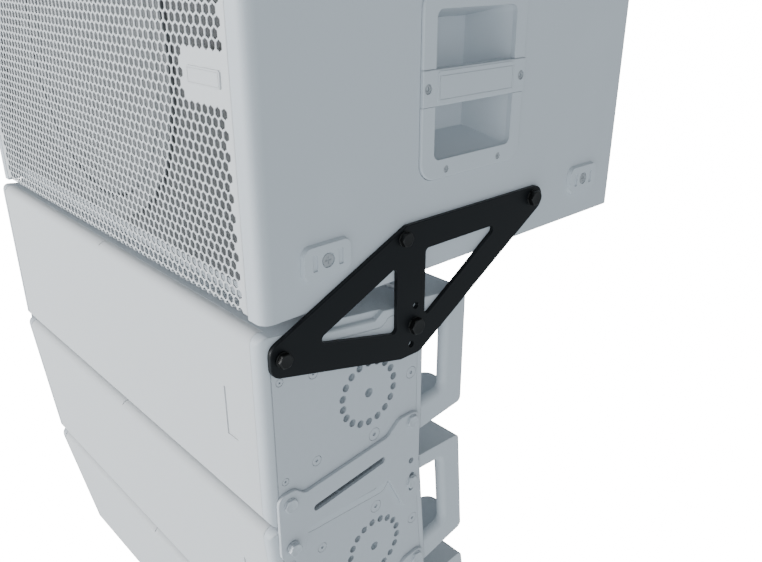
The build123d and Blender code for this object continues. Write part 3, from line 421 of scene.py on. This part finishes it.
# ------------------------------------------------------------------ operators
class COLUMN_OT_stage(bpy.types.Operator):
    """Pale floor, soft studio light and the camera"""

    bl_idname = "column.stage"
    bl_label = "Stage"

    AZIMUTH = radians(47.40)
    ELEVATION = radians(23.354)
    LENS = 35.72
    FILM_WIDTH = 36.0
    CLIP = (0.02, 200.0)
    FROM_CORNER = Vector((0.5260, -0.3381, 0.3138))
    FLOOR_DROP = 1.4
    FLOOR_SIZE = 90.0
    FLOOR_GLOW = 16.0
    SKY_TINT = (0.86, 0.945, 1.0)
    SKY_FADE = (-0.2, 0.9, 1.30, 0.20)  # height above the horizon, then strength
    SKY_REAR = (-0.3, 0.8, 1.0, 0.35)  # from the front to the rear, then share
    LAMPS = (  # name, place from the middle of the column, diameter, watts, tint
        ("key", (-2.2, -4.2, 1.0), 2.4, 275.0, (0.975, 0.99, 1.0)),
        ("side", (3.6, -1.6, 0.6), 2.0, 18.0, (0.86, 0.95, 1.0)),
        ("back", (0.6, 3.6, 1.2), 2.6, 9.0, (0.95, 0.98, 1.0)),
    )

    def execute(self, context):
        self.floor(context)
        self.lights(context)
        self.camera(context)
        return {"FINISHED"}

    def floor(self, context):
        bm = bmesh.new()
        bmesh.ops.create_grid(bm, x_segments=8, y_segments=8, size=self.FLOOR_SIZE)
        mesh = bpy.data.meshes.new("floor")
        bm.to_mesh(mesh)
        bm.free()
        floor = bpy.data.objects.new("floor", mesh)
        floor.location = (0, 0, CAD_BOX[0].z - self.FLOOR_DROP)
        paper = Finish("pale_paper")
        paper.set("Base Color", (0.95, 0.95, 0.95, 1))
        paper.set("Roughness", 0.9)
        paper.set("Emission Color", (1.0, 1.0, 1.0, 1))
        paper.set("Emission Strength", self.FLOOR_GLOW)
        mesh.materials.append(paper.material)
        context.scene.collection.objects.link(floor)
        floor.visible_diffuse = False
        floor.visible_glossy = False

    def lights(self, context):
        centre = (CAD_BOX[0] + CAD_BOX[1]) / 2
        for name, place, size, watts, tint in self.LAMPS:
            lamp = bpy.data.lights.new(name, "AREA")
            lamp.shape = "DISK"
            lamp.size = size
            lamp.energy = watts
            lamp.color = tint
            holder = bpy.data.objects.new(name, lamp)
            holder.location = centre + Vector(place)
            holder.rotation_euler = (centre - holder.location).to_track_quat("-Z", "Y").to_euler()
            context.scene.collection.objects.link(holder)
        self.sky(context)

    def sky(self, context):
        """Even light from all round, dimmer from above and from behind."""
        world = bpy.data.worlds.new("soft_sky")
        world.use_nodes = True
        nodes, links = world.node_tree.nodes, world.node_tree.links
        place = nodes.new("ShaderNodeTexCoord")
        parts = nodes.new("ShaderNodeSeparateXYZ")
        links.new(place.outputs["Generated"], parts.inputs[0])
        strength = nodes.new("ShaderNodeMath")
        strength.operation = "MULTIPLY"
        for slot, (axis, limits) in enumerate((("Z", self.SKY_FADE), ("Y", self.SKY_REAR))):
            fade = nodes.new("ShaderNodeMapRange")
            for name, value in zip(("From Min", "From Max", "To Min", "To Max"), limits):
                fade.inputs[name].default_value = value
            links.new(parts.outputs[axis], fade.inputs["Value"])
            links.new(fade.outputs[0], strength.inputs[slot])
        background = nodes["Background"]
        background.inputs["Color"].default_value = (*self.SKY_TINT, 1)
        links.new(strength.outputs[0], background.inputs["Strength"])
        context.scene.world = world

    def camera(self, context):
        lens = bpy.data.cameras.new("camera")
        lens.lens = self.LENS
        lens.sensor_width = self.FILM_WIDTH
        lens.clip_start, lens.clip_end = self.CLIP
        view = bpy.data.objects.new("camera", lens)
        corner = Vector((SUB_HIGH.x, SUB_LOW.y, SUB_LOW.z))
        view.location = corner + self.FROM_CORNER
        ahead = Vector((
            -sin(self.AZIMUTH) * cos(self.ELEVATION),
            cos(self.AZIMUTH) * cos(self.ELEVATION),
            -sin(self.ELEVATION),
        ))
        view.rotation_euler = ahead.to_track_quat("-Z", "Y").to_euler()
        context.scene.collection.objects.link(view)
        context.scene.camera = view


class COLUMN_OT_finishes(bpy.types.Operator):
    """Coat every CAD piece that stays as it is"""

    bl_idname = "column.finishes"
    bl_label = "Finishes"

    def execute(self, context):
        colours, _ = column_settings(context)
        white = tuple(colours.cabinet)
        plate = tuple(colours.plate)
        black = tuple(colours.black)
        slots = {
            "sub_paint": spatter_coat("cabinet_spatter", white),
            "module_paint": powder_coat("module_coat", white, 0.55, grain=700.0, edge=MILLED_EDGE),
            "plate_paint": powder_coat("plate_powder", plate, 0.48),
            "link_paint": powder_coat("link_powder", plate, 0.46),
            "grille_paint": powder_coat("grille_powder", tuple(colours.front), 0.5),
            "cloth_grille": acoustic_cloth("front_cloth", tuple(colours.front)),
            "badge": powder_coat("badge_lacquer", tuple(colours.front), 0.35, relief=0.02 * MM),
            "black_steel": black_coat("bracket_powder", tuple(colours.bracket)),
            "black_bolt": bolt_finish("blackened_bolt", (0.016, 0.016, 0.016), 0.42, 0.55),
            "pale_bolt": bolt_finish("pale_bolt", plate, 0.4, 0.15),
            "plate_screw_metal": powder_coat("screw_lacquer", plate, 0.42, relief=0.02 * MM),
            "screw_metal": bolt_finish("small_screw", (0.45, 0.47, 0.49), 0.4, 0.5),
            "insert_metal": metal("zinc", (0.55, 0.56, 0.58), 0.4),
            "handle_plastic": moulded("handle_moulding", white, 0.5),
            "pad_plastic": moulded("pad_moulding", white, 0.5),
            "driver_metal": powder_coat("basket_enamel", (0.22, 0.225, 0.23), 0.45),
            "cone_paper": cone_pulp("cone_pulp", (0.25, 0.255, 0.26)),
            "amp_metal": powder_coat("amp_enamel", (0.36, 0.38, 0.40), 0.5),
            "heat_sink_metal": metal("anodised", (0.09, 0.095, 0.10), 0.45, streak=31.0),
            "connector_plastic": moulded("connector_moulding", black, 0.45),
            "knob_plastic": moulded("knob_moulding", black, 0.38),
            "horn_plastic": moulded("horn_moulding", black, 0.5),
            "rear_panel_metal": powder_coat("rear_enamel", (0.40, 0.42, 0.44), 0.5),
        }
        for row in frame["record"]["subparts"]:
            node = frame["nodes"][row["node"]]
            node.data.materials.clear()
            node.data.materials.append(slots[row["material_slot"]])
        for name, material in slots.items():
            material["slot"] = name
        # The baffle gets its own dark coat instead of the cabinet paint: painted shade for the cavity seen through
        # the grille's holes
        baffle = frame["nodes"]["sub_baffle"].data.materials
        baffle.clear()
        baffle.append(powder_coat("baffle_stain", tuple(colours.baffle), 0.6))
        return {"FINISHED"}


def coat(slot):
    """The material that the finishes made for a slot of the record."""
    return next(m for m in bpy.data.materials if m.get("slot") == slot)


class COLUMN_OT_sub_grille(bpy.types.Operator):
    """The subwoofer's folded front, perforated with hexagons around a blank field"""

    bl_idname = "column.sub_grille"
    bl_label = "Perforated grille"

    MARGIN = 12.5 * MM  # from the sheet's side to the middle of the outermost hole
    FIRST_ROW = 0.65 * MM  # from the sheet's lower edge to the middle of the first open row
    TOP_LAND = 3.0 * MM  # no hole's middle is nearer to the upper edge
    SLACK = 0.1 * MM  # in telling whether a hole lies within the margin
    FIELD = (11.3 * MM, 19.7 * MM)  # how far the blank field stands out round the badge
    CUT = 1e-7  # a point this near to the cut isn't cut again
    FOLD_STEPS = 4

    def execute(self, context):
        _, sizes = column_settings(context)
        low, high = SUB_GRILLE
        bm = bmesh.new()
        self.lattice(bm, low, high, sizes)
        self.trim(bm, low, high, sizes)
        self.fold_back(bm, low, high, sizes)
        piece = finish_piece(
            "sub_grille_perforated", "top", "grille_paint", coat("grille_paint"), bm,
            ["sub_grille"], smooth=radians(50),
        )
        thick = piece.modifiers.new("sheet", "SOLIDIFY")
        thick.thickness = sizes.sheet
        thick.offset = -1.0
        return {"FINISHED"}

    def lattice(self, bm, low, high, sizes):
        """Hexagonal cells a little past the sheet's edges, open but for the margins and field."""
        pitch = sizes.hole_pitch
        row_step = pitch * sqrt(3) / 2
        cell = pitch / sqrt(3)
        hole = sizes.hole_flats / sqrt(3)
        badge = (BADGE[0] + BADGE[1]) / 2
        half_badge = (BADGE[1] - BADGE[0]) / 2
        edge_x = high.x - self.MARGIN
        corners = [(sin(pi / 3 * k), cos(pi / 3 * k)) for k in range(6)]
        spots = {}

        def shared_vert(x, z):
            key = (round(x * 1e6), round(z * 1e6))
            if key not in spots:
                spots[key] = bm.verts.new((x, low.y, z))
            return spots[key]

        rows = int((high.z - low.z) / row_step) + 3
        columns = int((high.x - low.x) / pitch) + 4
        for row in range(-1, rows):
            z = low.z + self.FIRST_ROW + row * row_step
            offset = 0.0 if row % 2 == 0 else pitch / 2
            for column in range(-1, columns):
                x = edge_x - offset - (column - 1) * pitch
                outer = [shared_vert(x + cell * across, z + cell * up) for across, up in corners]
                in_field = (
                    x > badge.x - half_badge.x - self.FIELD[0]
                    and abs(z - badge.z) < half_badge.z + self.FIELD[1]
                )
                in_margins = (
                    abs(x) <= edge_x + self.SLACK and row > -1 and z < high.z - self.TOP_LAND
                )
                if in_field or not in_margins:
                    bm.faces.new(outer)
                    continue
                inner = [
                    bm.verts.new((x + hole * across, low.y, z + hole * up))
                    for across, up in corners
                ]
                for k in range(6):
                    after = (k + 1) % 6
                    bm.faces.new((outer[k], outer[after], inner[after], inner[k]))

    def trim(self, bm, low, high, sizes):
        """Cut the lattice where the folded edges begin."""
        fold = sizes.fold
        for place, normal in (
            ((low.x + fold, 0, 0), (-1, 0, 0)),
            ((high.x - fold, 0, 0), (1, 0, 0)),
            ((0, 0, low.z + fold), (0, 0, -1)),
            ((0, 0, high.z - fold), (0, 0, 1)),
        ):
            bmesh.ops.bisect_plane(
                bm, geom=bm.verts[:] + bm.edges[:] + bm.faces[:], dist=self.CUT,
                plane_co=place, plane_no=normal, clear_outer=True,
            )

    def fold_back(self, bm, low, high, sizes):
        """Round the outer edge over and run it back to the baffle."""
        fold = sizes.fold
        left, right = low.x + fold, high.x - fold
        bottom, top = low.z + fold, high.z - fold

        def on_rim(point):
            gaps = (point.x - left, right - point.x, point.z - bottom, top - point.z)
            return min(gaps) < NEAR

        rim = [e for e in bm.edges if e.is_boundary and all(on_rim(v.co) for v in e.verts)]
        angles = [pi / 2 * i / self.FOLD_STEPS for i in range(1, self.FOLD_STEPS + 1)]
        path = [(fold * sin(angle), fold * (1 - cos(angle))) for angle in angles]
        path.append((fold, high.y - low.y))
        out, back = 0.0, 0.0
        for step_out, step_back in path:
            grown = bmesh.ops.extrude_edge_only(bm, edges=rim)["geom"]
            rim = [g for g in grown if isinstance(g, bmesh.types.BMEdge)]
            for v in {v for e in rim for v in e.verts}:
                side = (v.co.x > right - NEAR) - (v.co.x < left + NEAR)
                up = (v.co.z > top - NEAR) - (v.co.z < bottom + NEAR)
                further = step_out - out
                v.co += Vector((side * further, step_back - back, up * further))
            out, back = step_out, step_back


class COLUMN_OT_badge(bpy.types.Operator):
    """The blank plate on the perforated front, with a fine engraved border"""

    bl_idname = "column.badge"
    bl_label = "Badge plate"

    CORNER = 2.0 * MM
    STEPS = 6
    PROFILE = (  # inset from the edge, and depth below the face, in mm
        (0.0, 1.5), (0.0, 0.35), (0.1, 0.1), (0.35, 0.0),  # side and rounded edge
        (1.5, 0.0), (1.6, 0.4), (2.0, 0.4), (2.1, 0.0),  # engraved border
        (3.4, 0.0),
    )

    def execute(self, context):
        low, high = BADGE
        bm = bmesh.new()
        rings = []
        for inset, depth in self.PROFILE:
            outline = rounded_rectangle(low, high, self.CORNER, inset * MM, self.STEPS)
            rings.append([bm.verts.new((x, low.y + depth * MM, z)) for x, z in outline])
        for first, second in zip(rings, rings[1:]):
            for i in range(len(first)):
                j = (i + 1) % len(first)
                bm.faces.new((first[i], first[j], second[j], second[i]))
        bm.faces.new(rings[0])
        bm.faces.new(rings[-1])
        finish_piece("sub_badge_blank", "top", "badge", coat("badge"), bm, ["sub_badge_plate"])
        return {"FINISHED"}


class COLUMN_OT_module_fronts(bpy.types.Operator):
    """Each module's cloth-covered front, rolled over its upper and lower edges"""

    bl_idname = "column.module_fronts"
    bl_label = "Module fronts"

    LABEL = (289.0 * MM, 3.6 * MM, 20.3 * MM, 58.0 * MM)  # centre, then width and height
    LABEL_DEEP = 1.2 * MM
    LABEL_ROUND = 1.5 * MM
    SLIT, SLIT_DEEP = 1.6 * MM, 2.0 * MM
    EDGE = 1.2 * MM  # radius along the sides
    LIP = 5.0 * MM  # turned in behind the sides and the back edges
    NEAR_FACE = 0.1 * MM

    def execute(self, context):
        _, sizes = column_settings(context)
        for number in MODULES:
            bm = self.panel(sizes)
            bm.transform(module_place(number))
            finish_piece(
                f"front_{number}", f"module_{number}", "cloth_grille", coat("cloth_grille"), bm,
                [f"grille_{number}"],
            )
        return {"FINISHED"}

    def outline(self, sizes):
        """Side view of the skin, from the upper back edge round to the lower one, with its
        outward directions."""
        front = FRONT_LOW.y - PIVOT.y
        back = FRONT_HIGH.y - PIVOT.y
        wrap = sizes.wrap
        reach = wrap * tan((pi / 2 + TAPER) / 2)
        corner = (FRONT_HIGH.z - FRONT_LOW.z) / 2 + reach - wrap
        centre = Vector((front + wrap, corner - reach))
        up = Vector((sin(TAPER), cos(TAPER)))
        upper = [(Vector((back, corner - tan(TAPER) * (back - front))), up)]
        steps = 2 * sizes.round_steps
        for i in range(steps + 1):
            angle = pi / 2 - TAPER + (pi / 2 + TAPER) * i / steps
            out = Vector((cos(angle), sin(angle)))
            upper.append((centre + wrap * out, out))
        _, label_z, _, label_high = self.LABEL
        ahead = Vector((-1, 0))
        label = [(Vector((front, label_z + side * label_high / 2)), ahead) for side in SIDES]
        lower = [(Vector((p.x, -p.y)), Vector((n.x, -n.y))) for p, n in reversed(upper)]
        return upper + label + lower

    def columns(self, sizes):
        """Places along the width, each with how far the skin lies inside its outline there."""
        half = FRONT_HIGH.x
        label_x, _, label_wide, _ = self.LABEL
        steps = sizes.round_steps
        right = [(half, self.LIP)]
        for i in range(steps + 1):
            angle = pi / 2 * i / steps
            right.append((half - self.EDGE * (1 - cos(angle)), self.EDGE * (1 - sin(angle))))
        right.sort()
        left = [(-x, inset) for x, inset in reversed(right)]
        inner = [(side * self.SLIT / 2, 0.0) for side in (-1, 1)]
        inner += [(label_x + side * label_wide / 2, 0.0) for side in (-1, 1)]
        return left + inner + right

    def panel(self, sizes):
        bm = bmesh.new()
        outline = self.outline(sizes)
        columns = self.columns(sizes)
        lipped = [(outline[0], self.LIP)] + [(o, 0.0) for o in outline] + [(outline[-1], self.LIP)]
        grid = []
        for x, inset in columns:
            row = []
            for (point, out), lip in lipped:
                place = point - out * max(inset, lip)
                row.append(bm.verts.new((x, place.x, place.y)))
            grid.append(row)
        for left, right in zip(grid, grid[1:]):
            for a, b, c, d in zip(left, left[1:], right[1:], right):
                bm.faces.new((a, b, c, d))
        bm.normal_update()

        def middle(face):
            return face.calc_center_median()

        def pick(x, test):
            return [f for f in bm.faces if abs(middle(f).x - x) < self.NEAR_FACE and test(f)]

        label_x, label_z, _, _ = self.LABEL
        label = pick(label_x, lambda f: abs(middle(f).z - label_z) < self.NEAR_FACE)
        self.sink(bm, label, Vector((0, self.LABEL_DEEP, 0)), self.LABEL_ROUND)
        for side in SIDES:
            slit = pick(0.0, lambda f: abs(f.normal.z) > 0.6 and middle(f).z * side > 0)
            self.sink(bm, slit, Vector((0, 0, -side * self.SLIT_DEEP)), 0.0)
        return bm

    def sink(self, bm, faces, way, radius):
        """Press some faces in, with walls round them and, where asked, rounded corners."""
        if not faces:
            raise RuntimeError("nothing to press in")
        grown = bmesh.ops.extrude_face_region(bm, geom=faces)["geom"]
        verts = [g for g in grown if isinstance(g, bmesh.types.BMVert)]
        bmesh.ops.translate(bm, verts=verts, vec=way)
        bmesh.ops.delete(bm, geom=[f for f in faces if f.is_valid], context="FACES_ONLY")
        if radius:
            corners = [e for e in bm.edges if (e.verts[0] in verts) != (e.verts[1] in verts)]
            bmesh.ops.bevel(
                bm, geom=corners, offset=radius, offset_type="OFFSET", segments=4, profile=0.5,
                affect="EDGES",
            )


class COLUMN_OT_bolts(bpy.types.Operator):
    """Hexagon bolts with chamfered heads where the CAD's plain ones stand"""

    bl_idname = "column.bolts"
    bl_label = "Bolts"

    SEGMENTS = 48
    FLANGE = 1.1 * MM  # thickness of the flange under a head, and how far it stands out
    HEIGHT = 0.8  # of a head, over half its width across flats
    LOW_HEIGHT = 0.32  # the same for the low heads in the link plates
    SHANK = 3.9 * MM
    TIP = (0.8 * MM, 0.86)  # length of the tapered tip, and its end's share of the shank
    THREAD = 0.98  # of the shank
    SOFT_EDGE = 0.2 * MM  # broken edge under the flange
    STEP = 0.3 * MM  # the same over the flange and at a head's foot
    FOOT = 0.985  # of a head's flats, where it meets its flange
    CROWN = 0.94  # radius of the flat top, over half the width across flats
    DISH = (0.82, 0.25 * MM)  # share of the crown that is sunk, and how deep

    def execute(self, context):
        _, sizes = column_settings(context)
        jobs = [("bracket_bolts", "top", "black_bolt", self.HEIGHT)]
        for n in MODULES:
            slot = "black_bolt" if n == 1 else "pale_bolt"
            jobs.append((f"pivot_bolts_{n}", f"module_{n}", slot, self.HEIGHT))
        for n in MODULES[:-1]:
            jobs.append((f"link_bolts_{n}", f"module_{n}", "pale_bolt", self.LOW_HEIGHT))
        for node, body, slot, height_share in jobs:
            bm = bmesh.new()
            for low, high in islands(node):
                self.bolt(bm, low, high, height_share, sizes)
            finish_piece(f"{node}_hex", body, slot, coat(slot), bm, [node], smooth=radians(25))
        return {"FINISHED"}

    def bolt(self, bm, low, high, height_share, sizes):
        """A lathe of rings along X whose head is cut to a hexagon."""
        side = 1 if high.x > 0 else -1
        outer = high.x if side > 0 else -low.x
        inner = low.x if side > 0 else -high.x
        washer = (high.z - low.z) / 2
        flats = washer - self.FLANGE
        centre = (low + high) / 2
        head_base = outer - height_share * flats
        flange_base = head_base - self.FLANGE
        crown = self.CROWN * flats
        slope = tan(sizes.head_chamfer)
        tip_length, tip_share = self.TIP
        dish_share, dish_depth = self.DISH

        def hexagon(angle):
            turn = (angle + pi / 6) % (pi / 3) - pi / 6
            return flats / cos(turn)

        def ring(x, radius, chamfer=0.0):
            """A round or hexagonal ring, its corners drawn back by the chamfer's slope."""
            row = []
            for i in range(self.SEGMENTS):
                angle = 2 * pi * i / self.SEGMENTS
                reach = radius(angle) if callable(radius) else radius
                row.append(bm.verts.new((
                    side * (x - chamfer * (reach - crown)),
                    centre.y + reach * sin(angle),
                    centre.z + reach * cos(angle),
                )))
            return row

        rings = (
            ring(inner, self.SHANK * tip_share),
            ring(inner + tip_length, self.SHANK * self.THREAD),
            ring(flange_base, self.SHANK * self.THREAD),
            ring(flange_base, washer - self.SOFT_EDGE),
            ring(flange_base + self.SOFT_EDGE, washer),
            ring(head_base - self.STEP, washer),
            ring(head_base, washer - self.STEP),
            ring(head_base, lambda angle: self.FOOT * hexagon(angle)),
            ring(head_base + self.STEP, hexagon),
            ring(outer, hexagon, slope),
            ring(outer, crown),
            ring(outer - dish_depth, dish_share * crown),
        )
        for first, second in zip(rings, rings[1:]):
            for i in range(self.SEGMENTS):
                j = (i + 1) % self.SEGMENTS
                bm.faces.new((first[i], first[j], second[j], second[i]))
        bm.faces.new(rings[0])
        bm.faces.new(rings[-1])


# ------------------------------------------------------------------ panel and registration
OPERATORS = (
    COLUMN_OT_stage,
    COLUMN_OT_finishes,
    COLUMN_OT_sub_grille,
    COLUMN_OT_badge,
    COLUMN_OT_module_fronts,
    COLUMN_OT_bolts,
)


class COLUMN_PT_panel(bpy.types.Panel):
    """Lists the column's pieces and their settings"""

    bl_label = "Loudspeaker column"
    bl_idname = "COLUMN_PT_panel"
    bl_space_type = "VIEW_3D"
    bl_region_type = "UI"
    bl_category = "Column"

    def draw(self, context):
        colours, sizes = column_settings(context)
        for group in (colours, sizes):
            box = self.layout.box()
            for name in group.__annotations__:
                box.prop(group, name)
        for operator in OPERATORS:
            self.layout.operator(operator.bl_idname)


CLASSES = (ColumnColours, ColumnSizes, *OPERATORS, COLUMN_PT_panel)


def register():
    for cls in CLASSES:
        bpy.utils.register_class(cls)
    bpy.types.Scene.column_colours = PointerProperty(type=ColumnColours)
    bpy.types.Scene.column_sizes = PointerProperty(type=ColumnSizes)


def unregister():
    del bpy.types.Scene.column_sizes
    del bpy.types.Scene.column_colours
    for cls in reversed(CLASSES):
        bpy.utils.unregister_class(cls)


def main():
    register()
    for operator in OPERATORS:
        group, action = operator.bl_idname.split(".")
        getattr(getattr(bpy.ops, group), action)()


if __name__ == "__main__":
    main()
